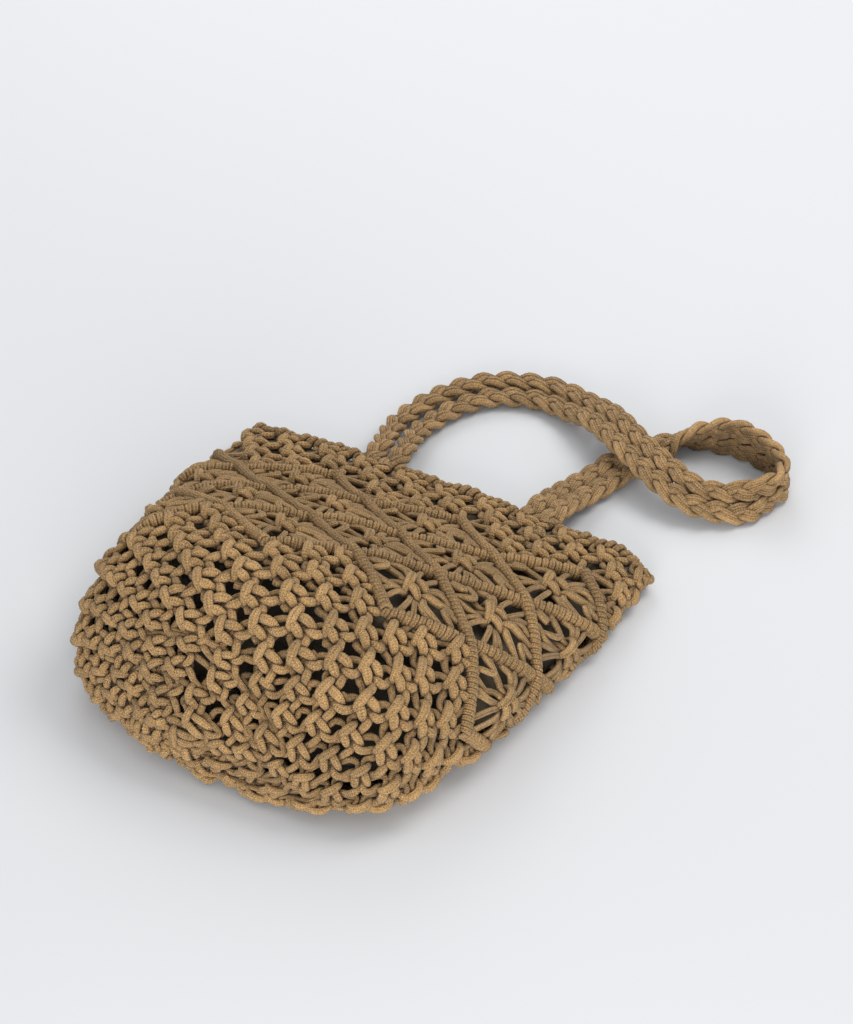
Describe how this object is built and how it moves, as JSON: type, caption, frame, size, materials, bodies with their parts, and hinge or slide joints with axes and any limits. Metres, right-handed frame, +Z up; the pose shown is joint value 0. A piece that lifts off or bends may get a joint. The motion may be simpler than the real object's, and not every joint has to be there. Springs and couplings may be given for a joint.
{
  "type": "macrame shoulder bag",
  "caption": "Knotted cotton cord shoulder bag lying on its back panel, with a patterned band of diamonds, a full rounded base, a cloth pouch inside and a pair of braided handles.",
  "frame": {"origin": "middle of the bag's underside (handles left out), on the surface that it lies on", "axes": "+Z up from the surface, +Y from the closed base towards the mouth, +X to the right seen from above with the mouth away"},
  "size_m": [0.3122, 0.4562, 0.1108],
  "materials": {
    "cord_top": "braided cotton cord, matt",
    "cord_band": "braided cotton cord, matt",
    "cord_base": "braided cotton cord, matt",
    "lining_cloth": "plain woven cotton, matt",
    "cord_handle_front": "braided cotton cord, matt",
    "cord_handle_back": "braided cotton cord, matt"
  },
  "bodies": {
    "root": {"top_net": "cord_top", "diamond_band": "cord_band", "base_net": "cord_base", "lining": "lining_cloth", "handle_front": "cord_handle_front", "handle_back": "cord_handle_back"}
  },
  "joints": []
}
